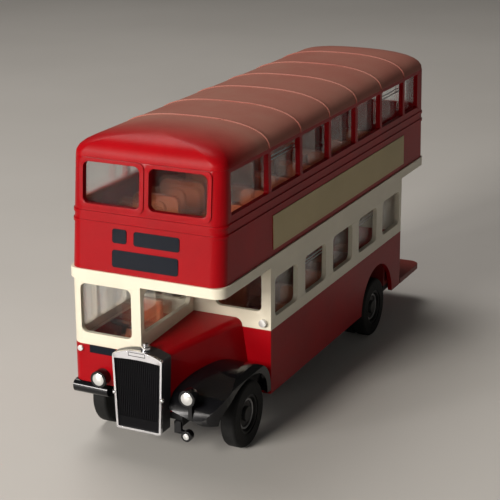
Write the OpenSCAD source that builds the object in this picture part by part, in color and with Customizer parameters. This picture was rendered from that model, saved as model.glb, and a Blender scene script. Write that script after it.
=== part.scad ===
// Half-cab double decker bus with an open rear platform: a die-cast collector's model in 1:76 scale.
// The nose points along +X, the nearside (kerb side) along +Y, and the wheels stand on Z = 0.

/* [Overall] */
// Length of the body castings, without the radiator
body_l = 108.3; // [96:0.1:126]
// Width over the side panels
body_w = 32.1; // [29:0.1:36]
// Height of the roof's crown above the ground
roof_z = 61.9; // [60:0.1:66]
// Wall thickness of the castings
wall = 1.0; // [0.8:0.05:1.2]

/* [Decks] */
// Underside of the side panels
skirt_z = 7.4; // [6.6:0.1:7.8]
// Line where the lower red panels meet the cream window surround
waist_z = 20.6; // [20:0.1:21.6]
// Underside of the cream band between the decks
band_z = 33.7; // [33:0.1:34.6]
// Height of the cream band
band_h = 2.0; // [1.4:0.1:2.4]
// How far the cream band stands out of the panels
band_proud = 0.35; // [0.25:0.05:0.6]
// Lower edge of the roof casting
cantrail_z = 56.9; // [56.6:0.1:58]
// Setback of the upper deck's front at the cantrail
front_rake = 1.6; // [0.4:0.1:2.2]
// Inward lean of each upper deck side at the cantrail
side_lean = 0.3; // [0.2:0.05:0.6]

/* [Windows] */
// Distance from one bay's centre to the next
bay_pitch = 14.6; // [13.4:0.1:15.4]
// Width of a lower deck window
lower_window_w = 10.8; // [9:0.1:11.6]
// Sill of the lower deck windows
lower_sill_z = 22.9; // [22.4:0.1:24]
// Height of a lower deck window
lower_window_h = 7.9; // [6.5:0.1:8.6]
// Width of an upper deck window
upper_window_w = 13.4; // [11:0.1:13.6]
// Sill of the upper deck windows
upper_sill_z = 48.3; // [48.1:0.1:49.6]
// Height of an upper deck window
upper_window_h = 7.9; // [6:0.1:8.1]
// Corner radius of the lower deck and end windows
window_r = 1.2; // [0.5:0.1:2]
// Corner radius of the upper deck's side windows
upper_window_r = 0.5; // [0.3:0.1:1.2]
// Thickness of the clear glazing sheets
glass_t = 0.5; // [0.3:0.05:0.6]

/* [Cab and bonnet] */
// Distance from the front of the body to the front bulkhead
cab_l = 21.0; // [20:0.1:22.5]
// Side position of the cab's inner wall
cab_inner_y = -0.8; // [-1.6:0.1:-0.6]
// Underside of the cab's front panel
cab_panel_z = 12.9; // [12.4:0.1:13.4]
// Width of the radiator at its shoulders
radiator_w = 10.6; // [9.6:0.1:11.4]
// Height of the radiator's lower edge
radiator_z = 5.9; // [5:0.1:7]
// Height of the radiator's shoulders
radiator_top_z = 21.0; // [20:0.1:21.6]
// How far the radiator stands out of the body's front
radiator_proud = 2.4; // [2:0.1:3]

/* [Wheels] */
// Radius of the tyres
tyre_r = 6.6; // [6.3:0.05:6.9]
// Width of one tyre
tyre_w = 3.1; // [2.6:0.1:3.3]
// Radius of the steel axles
axle_r = 0.8; // [0.6:0.05:0.95]
// Distance between the axles
wheelbase = 66.0; // [60:0.1:70]
// Distance from the front of the body to the front axle
front_overhang = 12.2; // [11.6:0.1:12.6]

/* [Interior] */
// Pitch of the upper deck seats
seat_pitch = 11.2; // [9.6:0.1:12]
// Width of a double seat
seat_w = 10.2; // [9:0.1:11]

/* [Plinth screws] */
// Radius of the two screw holes under the chassis
screw_r = 1.1; // [0.8:0.05:1.3]
// Distance between the two screw holes
screw_spacing = 32; // [28:0.5:36]

/* [Hidden] */
$fn = 48;
smooth = 32;
eps = 0.01;
fit = 0.05;
big = 200;

overall_l = body_l + radiator_proud;
front_x = overall_l / 2 - radiator_proud;
rear_x = -overall_l / 2;
half_w = body_w / 2;
bulkhead_x = front_x - cab_l;
bays = 5;
platform_x = bulkhead_x - bays * bay_pitch;
band_top_z = band_z + band_h;
front_axle_x = front_x - front_overhang;
rear_axle_x = front_axle_x - wheelbase;
front_corner_r = 2.3;
rear_corner_r = 2.4;
upper_corner_r = 2.6;

// ---------- shared shapes ----------

// A box between two corners
module box(a, b) { translate(a) cube(b - a); }

// A rectangle from its low corner with round corners, drawn with true arcs
module round_rect(size, r) {
  translate([r, 0]) square([size[0] - 2 * r, size[1]]);
  translate([0, r]) square([size[0], size[1] - 2 * r]);
  for (x = [r, size[0] - r], y = [r, size[1] - r]) translate([x, y]) circle(r);
}

// A body outline in plan with its own corner radius at the tail and at the nose
module plan(x0, x1, w, r_rear, r_front) {
  hull()
    for (s = [-1, 1]) {
      translate([x0 + r_rear, s * (w / 2 - r_rear)]) circle(r_rear, $fn = smooth);
      translate([x1 - r_front, s * (w / 2 - r_front)]) circle(r_front, $fn = smooth);
    }
}

// A prism that lies along Y, drawn in X and Z
module along_y(y0, y1) { translate([0, y1, 0]) rotate([90, 0, 0]) linear_extrude(y1 - y0) children(); }

// A prism that lies along X, drawn in Y and Z
module along_x(x0, x1) { translate([x0, 0, 0]) rotate([90, 0, 90]) linear_extrude(x1 - x0) children(); }

// A cutter for a window in a side wall, centred at x
module side_window(x, sill, w, h, y0, y1, r = window_r) {
  along_y(y0, y1) translate([x - w / 2, sill]) round_rect([w, h], r);
}

// A cutter for the same window in both side walls
module window_pair(x, sill, w, h, r = window_r) {
  for (s = [-1, 1])
    side_window(x, sill, w, h, s * (half_w - wall / 2) - wall, s * (half_w - wall / 2) + wall, r);
}

// A cutter for a window in a wall that faces along X
module end_window(y0, y1, sill, h, x0, x1) {
  along_x(x0, x1) translate([y0, sill]) round_rect([y1 - y0, h], window_r);
}

function bay_x(i) = bulkhead_x - (i + 0.5) * bay_pitch;

// Points on a quarter of a rounded curve: half sizes a and b, squareness n, from share 0 to 1
function curve(cx, cz, a, b, n, from, to, steps) =
  [for (i = [0 : steps])
    let (t = 90 * (from + (to - from) * i / steps))
      [cx + a * pow(cos(t), 2 / n), cz + b * pow(sin(t), 2 / n)]];

// ---------- roof ----------

roof_squareness = 2.4;
roof_nose_run = 8;
roof_tail_run = 8;
roof_steps = [0, 8, 18, 28, 38, 48, 58, 68, 78, 90];
rib_w = 0.5;
rib_proud = 0.2;
crown_share = 0.05;

// One slice of the roof: t runs from 0 at the cantrail to 90 at the crown
module roof_slice(t, inset, drop) {
  share = pow(cos(t), 2 / roof_squareness);
  z = cantrail_z + (roof_z - drop - cantrail_z) * pow(sin(t), 2 / roof_squareness);
  w = (body_w - 2 * side_lean - 2 * inset) * (crown_share + (1 - crown_share) * share);
  x1 = front_x - front_rake - inset - roof_nose_run * (1 - share);
  x0 = rear_x + inset + roof_tail_run * (1 - share);
  r = min(w / 2 - eps, upper_corner_r * (3 - 2 * share) - inset * share);
  translate([0, 0, z]) linear_extrude(eps) plan(x0, x1, w, r, r);
}

module roof_solid(inset, drop) { hull() for (t = roof_steps) roof_slice(t, inset, drop); }

module roof() {
  color([0.55, 0.08, 0.07])
    difference() {
      union() {
        roof_solid(0, rib_proud);
        intersection() {
          roof_solid(-rib_proud, 0);
          for (i = [0 : bays])
            box([bulkhead_x - i * bay_pitch - rib_w / 2, -body_w, cantrail_z],
                [bulkhead_x - i * bay_pitch + rib_w / 2, body_w, roof_z + wall]);
        }
      }
      roof_solid(wall, rib_proud + wall);
      box([-body_l, -body_w, cantrail_z - wall], [body_l, body_w, cantrail_z + eps]);
    }
}

// ---------- upper deck ----------

belt_zs = [44.5, 46.3];
belt_h = 0.6;
belt_proud = 0.2;
front_window_y = [0.95, 12.9];
rear_window_y = [1.2, 11.5];
frame_y = [0.12, 13.7];
frame_w = 0.7;
frame_proud = 0.25;
upper_deck_h = cantrail_z - band_top_z;
rake_angle = atan(front_rake / upper_deck_h);
lean_angle = atan(side_lean / upper_deck_h);

function rake_at(z) = front_rake * (z - band_top_z) / upper_deck_h;
function lean_at(z) = side_lean * (z - band_top_z) / upper_deck_h;

// The upper deck's outline with its raked front, taken in by an inset
module upper_loft(inset, z0, z1) {
  hull()
    for (z = [z0, z1])
      translate([0, 0, z])
        linear_extrude(eps)
          plan(rear_x + inset, front_x - inset - rake_at(z), body_w - 2 * inset - 2 * lean_at(z),
               rear_corner_r - inset, upper_corner_r - inset);
}

// Windows along each upper side: low and high end of each, with one narrow pillar between two
pillar_w = bay_pitch - upper_window_w;
upper_window_ends = [front_x - 4.5, platform_x - 9.2];
upper_windows = concat(
  [[bulkhead_x + pillar_w / 2, upper_window_ends[0]]],
  [for (i = [0 : bays - 1]) [bay_x(i) - upper_window_w / 2, bay_x(i) + upper_window_w / 2]],
  [[upper_window_ends[1], platform_x - pillar_w / 2]]
);

module upper_deck_body() {
  color([0.62, 0.05, 0.05])
    difference() {
      union() {
        upper_loft(0, band_top_z, cantrail_z - eps);
        for (z = belt_zs)
          intersection() {
            upper_loft(-belt_proud, band_top_z, cantrail_z);
            box([-body_l, -body_w, z], [body_l, body_w, z + belt_h]);
          }
        for (s = [0, 1])
          mirror([0, s, 0])
            on_front()
              along_x(-wall / 2, frame_proud)
                translate([frame_y[0], upper_sill_z - frame_w])
                  round_rect([frame_y[1] - frame_y[0], upper_window_h + 2 * frame_w], window_r);
      }
      upper_loft(wall, band_top_z - wall, cantrail_z + wall);
      for (w = upper_windows)
        window_pair((w[0] + w[1]) / 2, upper_sill_z, w[1] - w[0], upper_window_h, upper_window_r);
      for (s = [0, 1])
        mirror([0, s, 0]) {
          end_window(front_window_y[0], front_window_y[1], upper_sill_z, upper_window_h,
                     front_x - 2 * wall - front_rake, front_x + wall);
          end_window(rear_window_y[0], rear_window_y[1], upper_sill_z, upper_window_h,
                     rear_x - wall, rear_x + 2 * wall);
        }
    }
}

// Puts things on the raked face of the upper deck's front: X out of the face, Z up it from the band
module on_front() {
  translate([front_x + eps, 0, band_top_z])
    rotate([0, -rake_angle, 0])
      translate([0, 0, -band_top_z]) children();
}

// Puts things on the nearside's leaning side: Y out of the panel, Z up it from the band
module on_side() {
  translate([0, half_w + eps, band_top_z])
    rotate([lean_angle, 0, 0])
      translate([0, 0, -band_top_z]) children();
}

sign_t = 0.15;
sign_r = 0.5;
// Signs on the upper deck's front: low and high corners in Y and Z
signs = [[-6.6, 41.5, -3.6, 44.2], [-2.1, 41.4, 7.4, 44.1], [-6.6, 36.9, 7.2, 40.2]];

module destination_signs() {
  color([0.02, 0.02, 0.03])
    on_front()
      for (s = signs)
        along_x(0, sign_t) translate([s[0], s[1]]) round_rect([s[2] - s[0], s[3] - s[1]], sign_r);
}

advert_z = [36.8, 43.6];

module advert_panels() {
  color([0.62, 0.53, 0.30])
    for (s = [0, 1])
      mirror([0, s, 0])
        on_side() box([platform_x - fit, 0, advert_z[0]], [bulkhead_x - 1, sign_t, advert_z[1]]);
}

glass_y = half_w - wall - fit;
corner_room = 3;
// The flat front sheet reaches as far round the corners as the wall's inside lets it
front_glass_y = half_w - side_lean - upper_corner_r + sqrt(2 * fit * (upper_corner_r - wall));

module upper_glazing() {
  z0 = upper_sill_z - 1;
  z1 = cantrail_z - fit;
  color([0.8, 0.86, 0.88, 0.35]) {
    for (s = [0, 1])
      mirror([0, s, 0])
        on_side()
          box([rear_x + wall + corner_room, -wall - fit - glass_t, z0],
              [front_x - front_rake - wall - 1.6, -wall - fit, z1 - fit]);
    on_front()
      box([-wall - fit - glass_t, -front_glass_y, z0], [-wall - fit, front_glass_y, z1 - 0.3]);
    box([rear_x + wall + fit, -rear_window_y[1] - 0.6, z0],
        [rear_x + wall + fit + glass_t, rear_window_y[1] + 0.6, z1]);
  }
}

// ---------- band and upper floor ----------

ledge = 0.7;
canopy_t = 0.8;
stair_l = 10.5;
stair_w = 6.4;
stair_x0 = platform_x - stair_l - 0.4;
stair_y0 = -half_w + wall + ledge + fit;

module cream_band() {
  inner = wall + ledge;
  color([0.93, 0.89, 0.76])
    difference() {
      translate([0, 0, band_z])
        linear_extrude(band_h)
          plan(rear_x, front_x + band_proud, body_w + 2 * band_proud, rear_corner_r, front_corner_r);
      difference() {
        translate([0, 0, band_z - wall])
          linear_extrude(band_h + 2 * wall)
            plan(rear_x + inner, front_x - inner, body_w - 2 * inner, rear_corner_r - inner, 0.6);
        box([bulkhead_x, cab_inner_y, band_z], [front_x, half_w, band_z + canopy_t]);
        difference() {
          box([rear_x, -half_w, band_z], [platform_x, half_w, band_z + canopy_t]);
          box([stair_x0, stair_y0, band_z - wall], [platform_x - fit, stair_y0 + stair_w, band_z + 2 * wall]);
        }
      }
    }
}

floor_t = 0.9;
upper_floor_z = band_top_z + floor_t;

module upper_deck_floor() {
  inset = wall + fit;
  color([0.42, 0.16, 0.10])
    difference() {
      translate([0, 0, band_top_z])
        linear_extrude(floor_t)
          plan(rear_x + inset, front_x - inset - rake_at(upper_floor_z),
               body_w - 2 * inset - 2 * lean_at(upper_floor_z), rear_corner_r - inset, upper_corner_r - inset);
      box([stair_x0, stair_y0, band_top_z - wall],
          [platform_x - fit, stair_y0 + stair_w, upper_floor_z + wall]);
    }
}

cushion_h = 2.6;
cushion_d = 5.0;
back_t = 1.2;
back_h = 8.4;
back_r = 1.4;

// A double seat that faces +X with a rounded backrest
module double_seat(w) {
  translate([back_t, -w / 2, 0]) cube([cushion_d, w, cushion_h]);
  along_x(0, back_t) {
    translate([-w / 2, 0]) square([w, back_h - back_r]);
    translate([back_r - w / 2, 0]) square([w - 2 * back_r, back_h]);
    for (s = [-1, 1]) translate([s * (w / 2 - back_r), back_h - back_r]) circle(back_r);
  }
}

seat_y = glass_y - glass_t - 0.3 - seat_w / 2;
upper_rows = 8;
first_upper_seat_x = front_x - 11.2;

module upper_deck_seats() {
  color([0.72, 0.36, 0.20])
    for (i = [0 : upper_rows - 1], s = [-1, 1])
      if (s > 0 || first_upper_seat_x - i * seat_pitch > platform_x + 1)
        translate([first_upper_seat_x - i * seat_pitch, s * seat_y, upper_floor_z]) double_seat(seat_w);
}

// ---------- lower deck ----------

saloon_corner_r = 0.6;

// The lower deck in plan: the saloon behind the bulkhead and the cab on the offside of the bonnet
module lower_plan(inset) {
  difference() {
    plan(platform_x + inset, front_x - inset, body_w - 2 * inset,
         max(saloon_corner_r - inset, eps), front_corner_r - inset);
    translate([bulkhead_x - inset, cab_inner_y - inset]) square([cab_l + wall, body_w]);
  }
}

module lower_walls(z0, z1) {
  translate([0, 0, z0])
    linear_extrude(z1 - z0)
      difference() {
        lower_plan(0);
        lower_plan(wall);
      }
}

cab_back_t = 0.8;
module cab_back(z0, z1) {
  box([bulkhead_x - cab_back_t, -half_w + wall - eps, z0], [bulkhead_x, cab_inner_y - wall + eps, z1]);
}

windscreen_y = [-13.7, -2.8];
windscreen_z = [23.0, 32.8];
bulkhead_window_y = [4.0, 14.0];
bulkhead_window_z = [24.2, 32.2];
cab_side_x = [bulkhead_x + 1.4, front_x - 1.3];
door_y = [-2, 5];

module door_cut(z0) {
  box([platform_x - wall, door_y[0], z0], [platform_x + 2 * wall, door_y[1], band_z - 1]);
}

module lower_window_surround() {
  color([0.93, 0.89, 0.76])
    difference() {
      union() {
        lower_walls(waist_z, band_z);
        cab_back(waist_z, band_z);
      }
      for (i = [0 : bays - 1]) window_pair(bay_x(i), lower_sill_z, lower_window_w, lower_window_h);
      end_window(windscreen_y[0], windscreen_y[1], windscreen_z[0], windscreen_z[1] - windscreen_z[0],
                 front_x - 2 * wall, front_x + wall);
      end_window(bulkhead_window_y[0], bulkhead_window_y[1], bulkhead_window_z[0],
                 bulkhead_window_z[1] - bulkhead_window_z[0], bulkhead_x - 2 * wall, bulkhead_x + wall);
      end_window(windscreen_y[0], windscreen_y[1], bulkhead_window_z[0],
                 bulkhead_window_z[1] - bulkhead_window_z[0], bulkhead_x - 2 * wall, bulkhead_x + wall);
      side_window((cab_side_x[0] + cab_side_x[1]) / 2, bulkhead_window_z[0], cab_side_x[1] - cab_side_x[0],
                  bulkhead_window_z[1] - bulkhead_window_z[0],
                  cab_inner_y - 1.5 * wall, cab_inner_y + wall / 2);
      for (w = [[front_x - 14, 10], [front_x - 5.4, 4.6]])
        side_window(w[0], windscreen_z[0], w[1], windscreen_z[1] - windscreen_z[0],
                    -half_w - wall / 2, -half_w + 1.5 * wall);
      door_cut(waist_z - wall);
    }
}

rear_arch_r = 9.6;
rear_arch_x = rear_axle_x - 0.6;
rear_arch_z = 6.9;
front_arch_r = tyre_r + 1.5;

module lower_side_panels() {
  color([0.62, 0.05, 0.05])
    difference() {
      union() {
        lower_walls(skirt_z, waist_z);
        cab_back(skirt_z, waist_z);
      }
      along_y(-body_w, body_w) {
        translate([rear_arch_x, rear_arch_z]) circle(rear_arch_r);
        translate([rear_arch_x - rear_arch_r, 0]) square([2 * rear_arch_r, rear_arch_z]);
      }
      along_y(-body_w, cab_inner_y + 2 * wall) {
        translate([front_axle_x, tyre_r]) circle(front_arch_r);
        translate([front_axle_x - front_arch_r, 0]) square([cab_l, tyre_r]);
        translate([front_axle_x, 0]) square([cab_l, cab_panel_z]);
      }
      box([bulkhead_x - cab_back_t - eps, -half_w + wall, 0], [bulkhead_x + eps, cab_inner_y, lower_floor_z]);
      box([bulkhead_x - 2 * wall, -rail_y - rail_w, 0],
          [bulkhead_x + 2 * wall, rail_y + rail_w / 2 + fit, lower_floor_z]);
      door_cut(lower_floor_z + floor_t);
    }
}

platform_top_z = 8.6;
platform_t = 1.2;
rear_panel_y = 0.6;

module rear_panel() {
  color([0.62, 0.05, 0.05])
    difference() {
      translate([0, 0, platform_top_z])
        linear_extrude(band_z - platform_top_z)
          intersection() {
            difference() {
              plan(rear_x, platform_x + body_w, body_w, rear_corner_r, rear_corner_r);
              plan(rear_x + wall, platform_x + body_w, body_w - 2 * wall,
                   rear_corner_r - wall, rear_corner_r);
            }
            translate([rear_x, -half_w]) square([platform_x - rear_x, half_w + rear_panel_y]);
          }
      end_window(-11.5, -2.5, lower_sill_z, lower_window_h, rear_x - wall, rear_x + 2 * wall);
    }
}

module rear_platform() {
  color([0.45, 0.08, 0.07])
    translate([0, 0, platform_top_z - platform_t])
      linear_extrude(platform_t)
        intersection() {
          plan(rear_x, platform_x + body_w, body_w, rear_corner_r, rear_corner_r);
          translate([rear_x, -half_w]) square([platform_x - rear_x, body_w]);
        }
}

stair_steps = 7;

module staircase() {
  rise = (band_z - platform_top_z) / stair_steps;
  run = stair_l / stair_steps;
  color([0.42, 0.16, 0.10])
    along_y(stair_y0 + fit, stair_y0 + stair_w - fit)
      polygon(concat(
        [for (i = [0 : stair_steps - 1], k = [0, 1])
          [stair_x0 + (i + k) * run, platform_top_z + rise * (i + 1) - (i == stair_steps - 1 ? 0.5 : 0)]],
        [[stair_x0 + stair_l, platform_top_z], [stair_x0, platform_top_z]]
      ));
}

// Clear sheets behind the lower windows: low and high corners in X and Y
cab_glass_y = cab_inner_y - wall - fit;
lower_sheets = [
  [[platform_x + wall + fit, glass_y - glass_t], [bulkhead_x - wall - glass_t - 2 * fit, glass_y]],
  [[platform_x + wall + fit, -glass_y], [bulkhead_x - cab_back_t - fit, -glass_y + glass_t]],
  [[bulkhead_x - wall - fit - glass_t, cab_inner_y + 2], [bulkhead_x - wall - fit, glass_y]],
  [[bulkhead_x + fit, -glass_y], [front_x - wall - 1.6, -glass_y + glass_t]],
  [[bulkhead_x + fit, cab_glass_y - glass_t], [front_x - wall - glass_t - 2 * fit, cab_glass_y]],
  [[front_x - wall - fit - glass_t, windscreen_y[0] - 0.2], [front_x - wall - fit, cab_glass_y]]
];

module lower_glazing() {
  color([0.8, 0.86, 0.88, 0.35])
    for (s = lower_sheets)
      box([s[0][0], s[0][1], waist_z + 1], [s[1][0], s[1][1], band_z]);
}

lower_floor_z = 9.3;
tub_z = 16.4;
tub_t = 0.7;
tub_y = 7.6;
tub_half = tyre_r + 1.4;

module lower_deck_floor() {
  inset = wall + fit;
  color([0.42, 0.16, 0.10])
    difference() {
      box([platform_x + inset, -half_w + inset, lower_floor_z],
          [bulkhead_x - inset, half_w - inset, lower_floor_z + floor_t]);
      for (s = [0, 1])
        mirror([0, s, 0])
          box([rear_axle_x - tub_half + tub_t, tub_y + tub_t, lower_floor_z - wall],
              [rear_axle_x + tub_half - tub_t, half_w, tub_z - tub_t]);
    }
}

module wheel_boxes() {
  color([0.42, 0.16, 0.10])
    for (s = [0, 1])
      mirror([0, s, 0])
        difference() {
          box([rear_axle_x - tub_half, tub_y, lower_floor_z + floor_t],
              [rear_axle_x + tub_half, glass_y, tub_z]);
          box([rear_axle_x - tub_half + tub_t, tub_y + tub_t, lower_floor_z],
              [rear_axle_x + tub_half - tub_t, half_w, tub_z - tub_t]);
        }
}

lower_rows = 4;
bench_d = 5;

module lower_deck_seats() {
  color([0.72, 0.36, 0.20])
    for (s = [0, 1])
      mirror([0, s, 0]) {
        for (i = [0 : lower_rows - 1])
          translate([bulkhead_x - 9.6 - i * seat_pitch, seat_y, lower_floor_z + floor_t]) double_seat(seat_w);
        box([rear_axle_x - tub_half, glass_y - glass_t - 0.3 - bench_d, tub_z],
            [rear_axle_x + tub_half, glass_y - glass_t - 0.3, tub_z + 1.6]);
      }
}

// ---------- cab ----------

cab_floor_z = 15.5;
driver_y = -8.8;

module cab_floor() {
  color([0.42, 0.16, 0.10])
    translate([0, 0, cab_floor_z])
      linear_extrude(floor_t)
        intersection() {
          lower_plan(wall + fit);
          translate([bulkhead_x + fit, -half_w]) square([cab_l, half_w]);
        }
}

module driver_seat() {
  color([0.72, 0.36, 0.20])
    translate([bulkhead_x + 3.5, driver_y, cab_floor_z + floor_t]) {
      translate([0, -3, 0]) cube([6, 6, 4]);
      translate([0, -3, 4]) cube([1.3, 6, 4.6]);
    }
}

column_r = 0.45;
column_l = 7.2;
steering_r = 2.7;

module steering_wheel() {
  color([0.05, 0.05, 0.05])
    difference() {
      translate([front_x - 4.2, driver_y, cab_floor_z + floor_t]) rotate([0, -32, 0]) {
        translate([0, 0, -1]) cylinder(r = column_r, h = column_l + 1);
        translate([0, 0, column_l]) rotate_extrude() translate([steering_r, 0]) circle(0.35, $fn = 16);
        for (a = [0, 120, 240])
          rotate([0, 0, a]) translate([0, -0.25, column_l - 0.25]) cube([steering_r, 0.5, 0.5]);
      }
      box([bulkhead_x, -half_w, 0], [front_x, half_w, cab_floor_z + floor_t]);
    }
}

// ---------- bonnet and radiator ----------

frame_top_z = 9.3;
radiator_y = -0.5;
radiator_d = 3.7;
radiator_x = overall_l / 2;
radiator_taper = 0.55;
radiator_arch = 1.0;
opening_arch = 0.25;
shoulder_r = 0.6;
bonnet_nose_x = radiator_x - radiator_d;

// One end of the bonnet: side places at the top and the foot, height and shoulder radius
module bonnet_end(x, side_y, z_top, r, inset) {
  along_x(x, x + eps)
    hull() {
      translate([cab_inner_y + inset, frame_top_z]) square([1, z_top - inset - frame_top_z]);
      translate([side_y[0] - r, z_top - r]) circle(r - inset, $fn = smooth);
      translate([side_y[1] - inset - 0.5, frame_top_z]) square([0.5, 0.5]);
    }
}

// The bonnet's side at its nose and tail: places of the top and the foot, and the height of the top
bonnet_nose_y = [4.3, 4.6];
bonnet_tail_y = [9.9, 11.6];
bonnet_top = [21.3, 22.3];
bonnet_r = [1.2, 1.6];

module bonnet_solid(inset) {
  hull() {
    bonnet_end(bonnet_nose_x - inset - eps, bonnet_nose_y, bonnet_top[0], bonnet_r[0], inset);
    bonnet_end(bulkhead_x + inset, bonnet_tail_y, bonnet_top[1], bonnet_r[1], inset);
  }
}

module bonnet() {
  color([0.5, 0.05, 0.05])
    difference() {
      bonnet_solid(0);
      bonnet_solid(wall);
      box([bulkhead_x + wall, cab_inner_y + wall, frame_top_z - wall],
          [bonnet_nose_x - wall, bonnet_nose_y[0] - wall / 2, frame_top_z + wall]);
    }
}

// The radiator's outline seen from the front, with its own inset at the sides, foot and top
module radiator_outline(side, foot, top, arch) {
  w1 = radiator_w / 2 - side;
  w0 = w1 - radiator_taper;
  c = shoulder_r - side;
  z0 = radiator_z + foot;
  z1 = radiator_top_z - top;
  polygon(concat(
    [[-w0, z0 + c / 2], [c / 2 - w0, z0], [w0 - c / 2, z0], [w0, z0 + c / 2], [w1, z1 - c]],
    [[w1 - c / 4, z1 - c / 4]],
    [for (i = [0 : 12]) let (s = 1 - i / 6) [(w1 - c) * s, z1 + arch * (1 - s * s)]],
    [[c / 4 - w1, z1 - c / 4], [-w1, z1 - c]]
  ));
}

rim_w = 0.4;
rim_top_w = 1.0;
rim_d = 0.7;
knob_z = 13;
knob_r = 0.45;
recess_d = 1.5;

module radiator_plate(inner, x0, x1) {
  translate([0, radiator_y, 0])
    along_x(x0, x1)
      if (inner) radiator_outline(rim_w, rim_w, rim_top_w, opening_arch);
      else radiator_outline(0, 0, 0, radiator_arch);
}

module radiator_shell() {
  color([0.28, 0.28, 0.29])
    difference() {
      radiator_plate(false, radiator_x - radiator_d, radiator_x - rim_d);
      radiator_plate(true, radiator_x - recess_d, radiator_x);
      box([bonnet_nose_x - wall, -half_w, 0], [front_x, cab_inner_y, band_z]);
    }
}

module radiator_surround() {
  color([0.85, 0.85, 0.86]) {
    difference() {
      radiator_plate(false, radiator_x - rim_d, radiator_x);
      radiator_plate(true, radiator_x - rim_d - wall, radiator_x + wall);
    }
    for (s = [-1, 1])
      translate([radiator_x - rim_d + knob_r, radiator_y + s * (radiator_w / 2 - knob_r / 2), knob_z])
        sphere(knob_r);
  }
}

slats = 24;
slat_d = 0.15;

grille_inset = 0.35;
slat_gap = 0.4;
slat_foot = 2.4;

module radiator_grille() {
  pitch = (radiator_w - 2 * rim_w) / slats;
  color([0.03, 0.03, 0.04])
    difference() {
      radiator_plate(true, radiator_x - recess_d, radiator_x - grille_inset);
      for (i = [0 : slats])
        translate([0, radiator_y + (i - slats / 2) * pitch, 0])
          box([radiator_x - grille_inset - slat_d, -slat_gap * pitch / 2, radiator_z + slat_foot],
              [radiator_x, slat_gap * pitch / 2, radiator_top_z + wall]);
    }
}

cap_side = 1.1;

// The radiator's arched top, drawn about the cap's foot
module cap_seat() {
  translate([wall, wall - radiator_top_z - radiator_arch + 0.15]) radiator_outline(0, 0, 0, radiator_arch);
}

module filler_cap() {
  color([0.85, 0.85, 0.86])
    translate([radiator_x - rim_d - 0.9, radiator_y + cap_side, radiator_top_z + radiator_arch - 0.15])
      difference() {
        union() {
          cylinder(r = 0.95, h = 0.75);
          cylinder(r = 0.55, h = 1.35);
        }
        translate([-wall, -wall - cap_side, -wall]) along_x(0, 2 * wall) cap_seat();
      }
}

// ---------- wings and lamps ----------

wing_t = 0.8;
wing_y = half_w + 0.05;
wing_foot_z = 8.3;
wing_top_z = 16.1;
wing_x = front_axle_x + 0.5;
wing_tail = wing_x - bulkhead_x - fit;
wing_nose = front_x + 0.8 - wing_x;
wing_round = 2.4;

// The nearside wing from the side, taken in by an inset
module wing_side(inset) {
  b = wing_top_z - wing_foot_z - inset;
  polygon(concat(
    curve(wing_x, wing_foot_z, wing_nose - inset, b, 2.1, 0, 1, 14),
    curve(wing_x, wing_foot_z, inset - wing_tail, b, 2.3, 1, 0, 14)
  ));
}

// The nearside wing from the front: a rounded shoulder on the outside
module wing_front(inset) {
  hull() {
    translate([0, wing_foot_z - 1]) square([1, wing_top_z - inset - wing_foot_z + 1]);
    translate([wing_y - wing_round, wing_top_z - wing_round]) circle(wing_round - inset, $fn = smooth);
    translate([wing_y - inset - 1, wing_foot_z - 1]) square([1, 1]);
  }
}

// The nearside wing from above: square at the bulkhead, rounded at the nose
module wing_plan(inset) {
  nose = wing_x + wing_nose - inset;
  hull() {
    translate([bulkhead_x - wall, 0]) square([1, wing_y - inset]);
    translate([nose - 1, 0]) square([1, 6]);
    translate([nose - 5, wing_y - 5 - inset]) circle(5, $fn = smooth);
  }
}

module wing_solid(inset) {
  intersection() {
    along_y(0, wing_y) wing_side(inset);
    along_x(bulkhead_x - wall, front_x + 2) wing_front(inset);
    linear_extrude(wing_top_z) wing_plan(inset);
  }
}

wing_lip = 1.6;
// The wing's lower edge across the front: it rises from the outside towards the radiator
wing_front_edge = [[half_w + 1, wing_foot_z + 0.2], [wing_y - 4, wing_foot_z + 0.4], [5, 10.6]];

module nearside_front_wing() {
  color([0.03, 0.03, 0.035])
    difference() {
      wing_solid(0);
      wing_solid(wing_t);
      along_y(wing_y - wing_round, wing_y + wall) wing_side(wing_lip);
      box([bulkhead_x, 0, 0], [front_x + 5, half_w + 5, wing_foot_z + eps]);
      along_x(wing_x + wing_nose / 2, front_x + 5)
        polygon(concat([[0, 0], [half_w + 1, 0]], wing_front_edge, [[0, wing_front_edge[2][1]]]));
      bonnet_solid(-fit);
      box([bulkhead_x - wall, 0, 0], [front_x + 5, 4.7 + fit, wing_top_z + 1]);
      box([bulkhead_x - wall, 0, 0], [front_x - 1.2, rail_y + rail_w / 2 + fit, frame_top_z + fit]);
    }
}

lip_r = 1.2;
lip_d = 2.4;
lip_z = 10.3;
lip_nose = front_x + 0.5;
offside_y = [-15.9, -8.3];

// The arc of the offside wing over the tyre, from the rear to where it meets the cab's underside
function offside_arc(inset) =
  let (r = front_arch_r - fit - inset, end = asin((cab_panel_z - fit - inset - tyre_r) / r))
    [for (i = [0 : 12]) let (a = 180 - i * (180 - end) / 12)
      [front_axle_x + r * cos(a), tyre_r + r * sin(a)]];

// The offside wing's outside: over the tyre, forward under the cab and down round a thick lip
offside_path = concat(
  offside_arc(0),
  [for (i = [0 : 6]) let (a = 90 - i * 15)
    [lip_nose - lip_r + lip_r * cos(a), cab_panel_z - fit - lip_r + lip_r * sin(a)]],
  [for (i = [0 : 6]) let (a = -i * 15)
    [lip_nose - lip_r + lip_r * cos(a), lip_z + lip_r + lip_r * sin(a)]]
);

module offside_front_wing() {
  inner = offside_arc(wing_t);
  n = len(inner);
  color([0.03, 0.03, 0.035])
    along_y(offside_y[0], offside_y[1])
      polygon(concat(
        offside_path,
        [[lip_nose - lip_d, lip_z], [lip_nose - lip_d, inner[n - 1][1]]],
        [for (i = [1 : n]) inner[n - i]]
      ));
}

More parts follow.
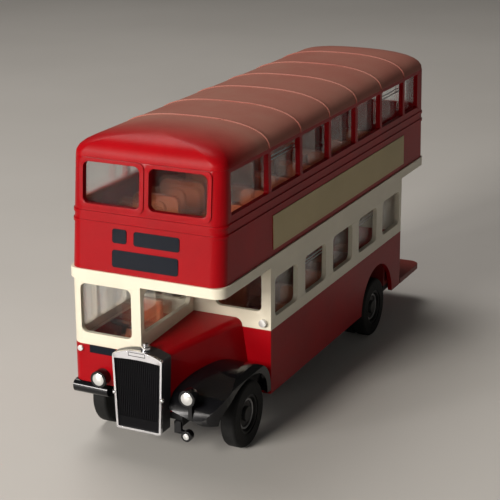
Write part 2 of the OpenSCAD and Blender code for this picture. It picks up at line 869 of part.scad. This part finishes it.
lamp_r = 1.65;
lamp_d = 2.0;
lamp_rim = 0.45;
lens_d = 0.4;
// Headlamps: side position and height of each
lamps = [[-9.3, 14.6], [9.6, 14.1]];

// A lamp that faces +X, its back at the origin
module lamp_bowl(r, d) {
  rotate([0, 90, 0])
    difference() {
      cylinder(r = r, h = d);
      translate([0, 0, d - lens_d]) cylinder(r = r - lamp_rim, h = wall);
    }
}

// The lens of that lamp: a shallow dome
module lamp_lens(r, d) {
  dome = 1.6 * r;
  intersection() {
    translate([d - lens_d, 0, 0]) rotate([0, 90, 0]) cylinder(r = r - lamp_rim, h = wall);
    translate([d + 0.25 - dome, 0, 0]) sphere(dome);
  }
}

module headlamp_bowls() {
  color([0.03, 0.03, 0.035]) {
    for (p = lamps) translate([front_x, p[0], p[1]]) lamp_bowl(lamp_r, lamp_d);
    difference() {
      box([front_x + 0.1, lamps[1][0] - 0.4, wing_foot_z],
          [front_x + 0.7, lamps[1][0] + 0.4, lamps[1][1] - 1]);
      wing_solid(0);
    }
  }
}

module headlamp_lenses() {
  color([0.88, 0.88, 0.86])
    for (p = lamps) translate([front_x, p[0], p[1]]) lamp_lens(lamp_r, lamp_d);
}

fog_r = 1.05;
fog_d = 1.3;
fog_at = [front_x - 0.6, 8.7, 5.9];
rail_y = 6.2;
rail_w = 1.4;

module fog_lamp() {
  color([0.03, 0.03, 0.035]) {
    translate(fog_at) lamp_bowl(fog_r, fog_d);
    box([fog_at[0] - 0.8, rail_y - rail_w / 2, fog_at[2] - 0.3],
        [fog_at[0], fog_at[1], fog_at[2] + 0.3]);
    box([fog_at[0] - 0.8, rail_y - rail_w / 2, fog_at[2] - 0.3],
        [fog_at[0], rail_y + rail_w / 2, plate_z]);
  }
}

module fog_lamp_lens() { color([0.88, 0.88, 0.86]) translate(fog_at) lamp_lens(fog_r, fog_d); }

module side_lamps() {
  color([0.88, 0.88, 0.86]) {
    translate([front_x, -14.0, waist_z - 0.9]) rotate([0, 90, 0]) cylinder(r = 0.55, h = 0.5);
    translate([bulkhead_x, 14.5, 22.1]) rotate([0, 90, 0]) cylinder(r = 0.75, h = 0.8);
  }
}

module number_plate() {
  color([0.02, 0.02, 0.02]) box([front_x, -12.0, waist_z - 1.5], [front_x + 0.2, -6.4, waist_z]);
}

// ---------- chassis ----------

plate_t = 1.3;
plate_z = frame_top_z - plate_t;
rail_h = 1.2;
lug_w = 2.4;
boss_x = 6;
boss_h = 1;
boss_wall = 1.5;

module chassis() {
  inset = wall + fit;
  color([0.05, 0.05, 0.05])
    difference() {
      union() {
        box([platform_x + inset, -half_w + inset, plate_z],
            [bulkhead_x - inset, half_w - inset, frame_top_z]);
        box([bulkhead_x - inset, -rail_y - rail_w / 2, plate_z],
            [bonnet_nose_x - fit, rail_y + rail_w / 2, frame_top_z]);
        for (s = [-1, 1]) {
          box([platform_x + inset, s * rail_y - rail_w / 2, plate_z - rail_h],
              [front_x - 1.4, s * rail_y + rail_w / 2, plate_z]);
          for (x = [front_axle_x, rear_axle_x])
            box([x - lug_w, s * rail_y - rail_w / 2, tyre_r - lug_w / 2 - axle_r],
                [x + lug_w, s * rail_y + rail_w / 2, plate_z]);
        }
        for (s = [-1, 1])
          translate([s * screw_spacing / 2 + boss_x, 0, plate_z - boss_h])
            cylinder(r = screw_r + boss_wall, h = boss_h);
      }
      for (x = [front_axle_x, rear_axle_x])
        along_y(-half_w, half_w) translate([x, tyre_r]) circle(axle_r + fit);
      for (s = [0, 1])
        mirror([0, s, 0])
          box([rear_axle_x - tub_half + tub_t, tub_y, plate_z - wall],
              [rear_axle_x + tub_half - tub_t, half_w, frame_top_z + wall]);
      for (s = [-1, 1])
        translate([s * screw_spacing / 2 + boss_x, 0, plate_z - 2 * wall])
          cylinder(r = screw_r, h = plate_t + 3 * wall);
      along_y(-half_w, -tub_y) translate([front_axle_x, tyre_r]) circle(front_arch_r);
    }
}

// ---------- wheels ----------

tyre_out_y = half_w - 0.5;
tyre_gap = 0.4;
hub_r = 3.9;
hub_dish = 0.7;
tyre_round = 0.6;

module tyre(y0) {
  w = tyre_w;
  c = tyre_round;
  translate([0, y0, 0])
    rotate([-90, 0, 0])
      rotate_extrude() {
        translate([hub_r, 0]) square([tyre_r - c - hub_r, w]);
        translate([hub_r, c]) square([tyre_r - hub_r, w - 2 * c]);
        for (y = [c, w - c]) translate([tyre_r - c, y]) circle(c, $fn = smooth);
      }
}

// A hub on the nearside end of an axle, dished on the outside, with its centre boss
module hub(w) {
  translate([0, tyre_out_y - 0.2 - w, 0])
    rotate([-90, 0, 0])
      difference() {
        cylinder(r = hub_r, h = w);
        translate([0, 0, w - hub_dish]) difference() {
          cylinder(r = hub_r - 0.5, h = wall);
          cylinder(r = 1.5, h = wall);
        }
        translate([0, 0, -wall]) cylinder(r = axle_r, h = w - 1 + wall);
      }
}

module ring() {
  translate([0, tyre_out_y - 0.2 - hub_dish, 0])
    rotate([-90, 0, 0])
      difference() {
        cylinder(r = 3.0, h = 0.3);
        translate([0, 0, -wall]) cylinder(r = 2.65, h = 3 * wall);
      }
}

module at_axle(x) { translate([x, 0, tyre_r]) children(); }
module both_sides() { for (s = [0, 1]) mirror([0, s, 0]) children(); }
module axle() {
  y = tyre_out_y - 1.2;
  along_y(-y, y) circle(axle_r);
}

module front_axle() { color([0.5, 0.5, 0.5]) at_axle(front_axle_x) axle(); }
module rear_axle() { color([0.5, 0.5, 0.5]) at_axle(rear_axle_x) axle(); }
module front_hubs() { color([0.05, 0.05, 0.05]) at_axle(front_axle_x) both_sides() hub(tyre_w - 0.4); }
module rear_hubs() {
  color([0.05, 0.05, 0.05])
    at_axle(rear_axle_x) both_sides() hub(2 * tyre_w + tyre_gap - 0.4);
}
module front_trim_rings() { color([0.8, 0.8, 0.8]) at_axle(front_axle_x) both_sides() ring(); }
module rear_trim_rings() { color([0.8, 0.8, 0.8]) at_axle(rear_axle_x) both_sides() ring(); }
module front_tyre() { color([0.04, 0.04, 0.04]) at_axle(front_axle_x) tyre(tyre_out_y - tyre_w); }
module twin_tyres() {
  color([0.04, 0.04, 0.04])
    at_axle(rear_axle_x) for (k = [0, 1]) tyre(tyre_out_y - tyre_w - k * (tyre_w + tyre_gap));
}
module front_nearside_tyre() { front_tyre(); }
module front_offside_tyre() { mirror([0, 1, 0]) front_tyre(); }
module rear_nearside_tyres() { twin_tyres(); }
module rear_offside_tyres() { mirror([0, 1, 0]) twin_tyres(); }

// ---------- drawing ----------

roof();
upper_deck_body();
cream_band();
lower_window_surround();
lower_side_panels();
rear_panel();
rear_platform();
bonnet();
radiator_shell();
radiator_surround();
radiator_grille();
filler_cap();
nearside_front_wing();
offside_front_wing();
headlamp_bowls();
headlamp_lenses();
fog_lamp();
fog_lamp_lens();
side_lamps();
number_plate();
destination_signs();
advert_panels();
upper_glazing();
lower_glazing();
upper_deck_floor();
upper_deck_seats();
lower_deck_floor();
lower_deck_seats();
staircase();
wheel_boxes();
cab_floor();
driver_seat();
steering_wheel();
chassis();
front_axle();
front_hubs();
front_trim_rings();
front_nearside_tyre();
front_offside_tyre();
rear_axle();
rear_hubs();
rear_trim_rings();
rear_nearside_tyres();
rear_offside_tyres();
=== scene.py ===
import bpy, bmesh, math
from mathutils import Vector, Matrix


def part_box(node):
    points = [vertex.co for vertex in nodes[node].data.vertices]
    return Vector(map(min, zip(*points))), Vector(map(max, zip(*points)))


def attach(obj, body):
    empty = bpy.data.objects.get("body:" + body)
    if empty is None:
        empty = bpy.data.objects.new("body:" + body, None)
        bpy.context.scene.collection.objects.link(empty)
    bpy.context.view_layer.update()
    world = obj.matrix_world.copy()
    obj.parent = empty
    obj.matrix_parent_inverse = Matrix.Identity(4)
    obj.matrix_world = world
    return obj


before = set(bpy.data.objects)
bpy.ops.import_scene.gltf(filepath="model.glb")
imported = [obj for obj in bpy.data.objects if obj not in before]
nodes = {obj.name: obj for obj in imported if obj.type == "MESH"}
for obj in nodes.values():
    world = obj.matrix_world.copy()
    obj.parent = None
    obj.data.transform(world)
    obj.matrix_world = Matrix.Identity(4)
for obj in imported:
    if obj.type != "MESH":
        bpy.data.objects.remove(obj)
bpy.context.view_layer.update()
MM = 0.001


# ---------------------------------------------------------------- node helpers
def new_mat(name):
    mat = bpy.data.materials.new(name)
    mat.use_nodes = True
    nt = mat.node_tree
    return mat, nt, nt.nodes["Principled BSDF"]


def noise(nt, scale, detail):
    tc = nt.nodes.new("ShaderNodeTexCoord")
    n = nt.nodes.new("ShaderNodeTexNoise")
    n.inputs["Scale"].default_value = scale
    n.inputs["Detail"].default_value = detail
    n.inputs["Roughness"].default_value = 0.55
    nt.links.new(tc.outputs["Object"], n.inputs["Vector"])
    return n.outputs["Fac"]


def ramp(nt, src, low, high):
    """Blends two colours over the middle of a noise's range."""
    r = nt.nodes.new("ShaderNodeValToRGB")
    for element, place, colour in zip(r.color_ramp.elements, (0.3, 0.7), (low, high)):
        element.position = place
        element.color = (*colour, 1)
    nt.links.new(src, r.inputs["Fac"])
    return r.outputs["Color"]


def span(nt, src, low, high, start=0.0, end=1.0):
    """Maps a value between start and end to one between low and high."""
    m = nt.nodes.new("ShaderNodeMapRange")
    m.inputs["From Min"].default_value = start
    m.inputs["From Max"].default_value = end
    m.inputs["To Min"].default_value = low
    m.inputs["To Max"].default_value = high
    nt.links.new(src, m.inputs["Value"])
    return m.outputs["Result"]


def math_node(nt, op, a, b=None):
    """A maths node whose inputs are sockets or plain numbers."""
    m = nt.nodes.new("ShaderNodeMath")
    m.operation = op
    for socket, value in zip(m.inputs, (a, b)):
        if isinstance(value, (int, float)):
            socket.default_value = value
        elif value is not None:
            nt.links.new(value, socket)
    return m.outputs[0]


def mix_colour(nt, amount, base, colour):
    """Lays a plain colour over a base by an amount."""
    mix = nt.nodes.new("ShaderNodeMix")
    mix.data_type = "RGBA"
    factor, first, second = mix.inputs[0], mix.inputs[6], mix.inputs[7]
    second.default_value = (*colour, 1)
    nt.links.new(amount, factor)
    nt.links.new(base, first)
    return mix.outputs[2]


def split(nt, vector):
    xyz = nt.nodes.new("ShaderNodeSeparateXYZ")
    nt.links.new(vector, xyz.inputs["Vector"])
    return xyz.outputs


# ---------------------------------------------------------------- materials
FINE = 14          # the orange peel's grain, times finer than the colour's patches
PEEL_DEPTH = 0.0002
DOME_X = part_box("roof")[1][0] - 3 * MM
DOME_FADE = 13 * MM


def dust_and_painted_sheen(nt, colour, patches, tint, amount):
    """Dust and painted sheen on what faces up, thicker in soft patches, and none on the front of the dome."""
    geo = nt.nodes.new("ShaderNodeNewGeometry")
    up = span(nt, split(nt, geo.outputs["Normal"])["Z"], 0, amount, -0.6, 0.3)
    back = span(nt, split(nt, geo.outputs["Position"])["X"], 0, 1, DOME_X, DOME_X - DOME_FADE)
    patch = span(nt, patches, 0.6, 1.2)
    dust_and_sheen_weight = math_node(nt, "MULTIPLY", math_node(nt, "MULTIPLY", up, patch), back)
    return mix_colour(nt, dust_and_sheen_weight, colour, tint)


def paint(name, col, var=0.12, rough=(0.18, 0.3), coat=0.0, coat_rough=0.08, peel=0.05, metallic=0.0, scale=90,
          shine=0.5, dust_and_sheen=None):
    """Paint, plastic or metal with patchy colour, uneven gloss and a faint orange peel."""
    mat, nt, b = new_mat(name)
    patches = noise(nt, scale, 5)
    colour = ramp(nt, patches, [c * (1 - var) for c in col], [c * (1 + var) for c in col])
    # An optional tint laid over the colour, part dust and part painted sheen.
    if dust_and_sheen:
        colour = dust_and_painted_sheen(nt, colour, patches, *dust_and_sheen)
    fine = noise(nt, scale * FINE, 3)
    nt.links.new(colour, b.inputs["Base Color"])
    nt.links.new(span(nt, fine, *rough), b.inputs["Roughness"])
    b.inputs["Coat Weight"].default_value = coat
    b.inputs["Coat Roughness"].default_value = coat_rough
    b.inputs["Metallic"].default_value = metallic
    b.inputs["Specular IOR Level"].default_value = shine
    k = nt.nodes.new("ShaderNodeBump")
    k.inputs["Strength"].default_value = peel
    k.inputs["Distance"].default_value = PEEL_DEPTH
    nt.links.new(fine, k.inputs["Height"])
    nt.links.new(k.outputs["Normal"], b.inputs["Normal"])
    return mat


RED = paint("red_paint", (0.27, 0.001, 0.004), rough=(0.26, 0.36), coat=0.04, peel=0.02, shine=0.1)
# The roof's pale brown tint on up-facing faces and rib edges is dust together with a painted sheen and painted
# highlights.
ROOF = paint("roof_red", (0.30, 0.002, 0.005), rough=(0.3, 0.42), peel=0.04, shine=0.1,
             dust_and_sheen=((0.34, 0.165, 0.125), 0.9))
CREAM = paint("cream_paint", (0.66, 0.61, 0.49), var=0.05, rough=(0.35, 0.45), coat=0.2, coat_rough=0.2, peel=0.03,
              shine=0.35)
BLACK = paint("black_paint", (0.004, 0.004, 0.005), var=0.2, rough=(0.14, 0.18), peel=0.006, shine=0.35)
CHASSIS = paint("chassis_black", (0.006, 0.006, 0.007), var=0.3, rough=(0.4, 0.55), shine=0.3)
GRILLE = paint("grille_black", (0.002, 0.002, 0.003), var=0.3, rough=(0.3, 0.4), shine=0.1)
SHELL = paint("shell_grey", (0.06, 0.06, 0.065), var=0.2, rough=(0.28, 0.4), metallic=0.6)
SIGN = paint("sign_black", (0.003, 0.005, 0.010), var=0.2, rough=(0.16, 0.22), shine=0.12)
ADVERT = paint("advert_print", (0.46, 0.37, 0.20), var=0.08, rough=(0.4, 0.5), scale=45, shine=0.25)
SEAT = paint("seat_plastic", (0.50, 0.13, 0.05), rough=(0.4, 0.55))
FLOOR = paint("interior_brown", (0.16, 0.012, 0.010), var=0.15, rough=(0.45, 0.6), shine=0.3)
PLATFORM = paint("platform_brown", (0.20, 0.030, 0.022), var=0.15, rough=(0.4, 0.5), shine=0.3)
TYRE = paint("tyre_rubber", (0.007, 0.007, 0.007), var=0.25, rough=(0.6, 0.8), peel=0.25, scale=200, shine=0.25)
HUB = paint("wheel_black", (0.008, 0.008, 0.008), var=0.25, rough=(0.35, 0.5), shine=0.35)
STEEL = paint("axle_steel", (0.40, 0.40, 0.41), var=0.08, rough=(0.25, 0.4), metallic=1.0, scale=300)
LAMP = paint("lamp_silver", (0.66, 0.66, 0.65), var=0.05, rough=(0.2, 0.3), coat=1.0, metallic=0.5, scale=300)


def bright(name):
    return paint(name, (0.62, 0.62, 0.64), var=0.05, rough=(0.16, 0.28), metallic=1.0, scale=300)


CHROME = bright("bright_metal")


def clear(name):
    """Thin clear plastic, half let through to keep it from darkening what is behind it."""
    mat, nt, b = new_mat(name)
    b.inputs["Base Color"].default_value = (0.93, 0.95, 0.95, 1)
    nt.links.new(span(nt, noise(nt, 120, 4), 0.02, 0.08), b.inputs["Roughness"])
    b.inputs["IOR"].default_value = 1.3
    b.inputs["Transmission Weight"].default_value = 1.0
    b.inputs["Alpha"].default_value = 0.4
    return mat


GLASS = clear("clear_glazing")

BADGE_Y, BADGE_DROP = -0.5 * MM, 0.72 * MM
BADGE_HALF_W, BADGE_HALF_H = 1.75 * MM, 0.34 * MM
BADGE_LINE = 0.06 * MM


def badged(name, z):
    """Bright metal engraved with the dark outline of a blank oblong badge, seen along X."""
    mat = bright(name)
    nt = mat.node_tree
    b = nt.nodes["Principled BSDF"]
    place = split(nt, nt.nodes.new("ShaderNodeTexCoord").outputs["Object"])
    past = []
    for axis, middle, half in (("Y", BADGE_Y, BADGE_HALF_W), ("Z", z, BADGE_HALF_H)):
        off = math_node(nt, "ABSOLUTE", math_node(nt, "SUBTRACT", place[axis], middle))
        past.append(math_node(nt, "SUBTRACT", off, half))
    edge = math_node(nt, "ABSOLUTE", math_node(nt, "MAXIMUM", *past))
    line = math_node(nt, "LESS_THAN", edge, BADGE_LINE)
    metal = b.inputs["Base Color"].links[0].from_socket
    nt.links.new(mix_colour(nt, line, metal, (0.01, 0.01, 0.01)), b.inputs["Base Color"])
    return mat


SURROUND = badged("surround_metal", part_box("radiator_surround")[1][2] - BADGE_DROP)

looks = {
    "roof": ROOF, "upper_deck_body": RED, "lower_side_panels": RED, "rear_panel": RED, "bonnet": RED,
    "cream_band": CREAM, "lower_window_surround": CREAM, "rear_platform": PLATFORM,
    "radiator_shell": SHELL, "radiator_surround": SURROUND, "radiator_grille": GRILLE, "filler_cap": CHROME,
    "nearside_front_wing": BLACK, "offside_front_wing": BLACK, "headlamp_bowls": BLACK, "fog_lamp": BLACK,
    "headlamp_lenses": LAMP, "fog_lamp_lens": LAMP, "side_lamps": LAMP, "number_plate": SIGN,
    "destination_signs": SIGN, "advert_panels": ADVERT, "upper_glazing": GLASS, "lower_glazing": GLASS,
    "upper_deck_floor": FLOOR, "lower_deck_floor": FLOOR, "wheel_boxes": FLOOR, "staircase": FLOOR,
    "cab_floor": FLOOR, "upper_deck_seats": SEAT, "lower_deck_seats": SEAT, "driver_seat": SEAT,
    "steering_wheel": BLACK, "chassis": CHASSIS, "front_axle": STEEL, "rear_axle": STEEL,
    "front_hubs": HUB, "rear_hubs": HUB, "front_trim_rings": STEEL, "rear_trim_rings": STEEL,
    "front_nearside_tyre": TYRE, "front_offside_tyre": TYRE, "rear_nearside_tyres": TYRE, "rear_offside_tyres": TYRE,
}
for name, piece in nodes.items():
    piece.data.materials.clear()
    piece.data.materials.append(looks[name])
    for face in piece.data.polygons:
        face.use_smooth = True

# ---------------------------------------------------------------- softened edges, widths in mm
SHARPEST = math.radians(38)    # folds gentler than this belong to a curve
WELD = 2e-6
bevels = {
    "upper_deck_body": 0.16, "cream_band": 0.22, "lower_window_surround": 0.14, "lower_side_panels": 0.12,
    "rear_panel": 0.12, "rear_platform": 0.25, "radiator_surround": 0.12, "radiator_shell": 0.1, "bonnet": 0.1,
    "roof": 0.05, "nearside_front_wing": 0.12, "offside_front_wing": 0.2, "headlamp_bowls": 0.12,
    "upper_deck_seats": 0.25, "lower_deck_seats": 0.25, "driver_seat": 0.3, "staircase": 0.1,
    "chassis": 0.12, "filler_cap": 0.1, "side_lamps": 0.15, "fog_lamp": 0.1, "front_hubs": 0.12, "rear_hubs": 0.12,
    "front_trim_rings": 0.08, "rear_trim_rings": 0.08, "destination_signs": 0.04, "advert_panels": 0.04,
    "number_plate": 0.05,
}
for name, width in bevels.items():
    weld = nodes[name].modifiers.new("weld", "WELD")
    weld.merge_threshold = WELD
    bevel = nodes[name].modifiers.new("bevel", "BEVEL")
    bevel.width = width * MM
    bevel.segments = 2
    bevel.limit_method = "ANGLE"
    bevel.angle_limit = SHARPEST
    bevel.use_clamp_overlap = True
    bevel.harden_normals = False
    normals = nodes[name].modifiers.new("normals", "WEIGHTED_NORMAL")
    normals.keep_sharp = False
    normals.weight = 80

# ---------------------------------------------------------------- rails of the sliding vents
RAIL_T, RAIL_H, RAIL_GAP = 0.16 * MM, 0.26 * MM, 0.7 * MM
RAIL_CORNER = 0.05 * MM
BULKHEAD_X, BAY = 31.95 * MM, 14.6 * MM
LOWER_TOP, UPPER_TOP = 30.8 * MM, 56.2 * MM
LOWER_RAIL, UPPER_RAIL = 10.7 * MM, 13.2 * MM
VENT_DROP = 1.5 * MM
LEAN = 0.24 * MM


def rounded_bar(name, size, corner):
    mesh = bpy.data.meshes.new(name)
    bm = bmesh.new()
    bmesh.ops.create_cube(bm, size=1)
    bmesh.ops.scale(bm, vec=size, verts=bm.verts)
    bmesh.ops.bevel(bm, geom=bm.edges[:], offset=corner, segments=2, profile=0.5, affect="EDGES")
    for face in bm.faces:
        face.smooth = True
    bm.to_mesh(mesh)
    bm.free()
    return mesh


def vent(deck, bay, glass_y, window_top, length):
    """Two rails across the top of a bay's window, on the outside of its glass, on both sides of the bus."""
    for side, side_name in ((1, "near"), (-1, "off")):
        for i in (0, 1):
            label = f"{deck}_vent_{bay}_{side_name}_{i}"
            rail = bpy.data.objects.new(label, rounded_bar(label, (length, RAIL_T, RAIL_H), RAIL_CORNER))
            rail.location = (BULKHEAD_X - (bay + 0.5) * BAY, side * (glass_y + RAIL_T / 2),
                             window_top - VENT_DROP - i * RAIL_GAP)
            rail.data.materials.append(STEEL)
            bpy.context.scene.collection.objects.link(rail)
            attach(rail, "bus_body")


for bay in (1, 3):
    vent("lower", bay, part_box("lower_glazing")[1][1], LOWER_TOP, LOWER_RAIL)
for bay in (0, 4):
    vent("upper", bay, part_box("upper_glazing")[1][1] - LEAN, UPPER_TOP, UPPER_RAIL)

# ---------------------------------------------------------------- floor and surroundings
FLOOR_SIZE = 3
bpy.ops.mesh.primitive_plane_add(size=FLOOR_SIZE, location=(0, 0, 0))
floor = bpy.context.object
floor.name = "floor"
pale, pale_nt, pale_b = new_mat("floor_pale")
pale_nt.links.new(ramp(pale_nt, noise(pale_nt, 6, 5), (0.50, 0.485, 0.46), (0.56, 0.545, 0.52)),
                  pale_b.inputs["Base Color"])
pale_b.inputs["Roughness"].default_value = 0.5
floor.data.materials.append(pale)

world = bpy.data.worlds.new("studio")
bpy.context.scene.world = world
world.use_nodes = True
background = world.node_tree.nodes["Background"]
background.inputs["Color"].default_value = (1.0, 0.96, 0.90, 1)
background.inputs["Strength"].default_value = 0.05
bpy.context.scene.view_settings.view_transform = "Standard"


# ---------------------------------------------------------------- lights, places in metres and power in watts
def aim(place, target):
    return (Vector(target) - Vector(place)).to_track_quat("-Z", "Y").to_euler()


def area(name, place, target, size, power, colour):
    light = bpy.data.lights.new(name, "AREA")
    light.shape = "RECTANGLE"
    light.size, light.size_y = size
    light.energy = power
    light.color = colour
    lamp = bpy.data.objects.new(name, light)
    lamp.location = place
    lamp.rotation_euler = aim(place, target)
    bpy.context.scene.collection.objects.link(lamp)


area("key", (0.55, -0.10, 0.24), (0.02, 0, 0.03), (0.16, 0.16), 3.2, (1.0, 0.95, 0.88))
area("front", (0.42, -0.22, 0.10), (0.05, 0.01, 0.045), (0.06, 0.09), 0.7, (1.0, 0.95, 0.92))
area("glint", (0.50, 0.26, 0.24), (0.04, 0.01, 0.02), (0.03, 0.03), 0.12, (1.0, 0.97, 0.94))
area("top", (-0.15, -0.25, 0.60), (0, 0, 0.03), (0.35, 0.35), 2.2, (1.0, 0.95, 0.90))

# ---------------------------------------------------------------- camera
EYE = Vector((277.15, 129.47, 124.06)) * MM
TARGET = Vector((-7.34, -14.10, 28.0)) * MM
ROLL = -0.01
SENSOR, LENS = 36, 107.298
SHIFT_X, SHIFT_Y = 0.0554, -0.05524

forward = (TARGET - EYE).normalized()
level = forward.cross(Vector((0, 0, 1))).normalized()
upright = level.cross(forward)
right = level * math.cos(ROLL) + upright * math.sin(ROLL)
up = upright * math.cos(ROLL) - level * math.sin(ROLL)

cam = bpy.data.cameras.new("camera")
cam.sensor_width = SENSOR
cam.lens = LENS
cam.shift_x, cam.shift_y = SHIFT_X, SHIFT_Y
cam.clip_start = 0.01
camera = bpy.data.objects.new("camera", cam)
bpy.context.scene.collection.objects.link(camera)
camera.matrix_world = Matrix.Translation(EYE) @ Matrix((right, up, -forward)).transposed().to_4x4()
bpy.context.scene.camera = camera
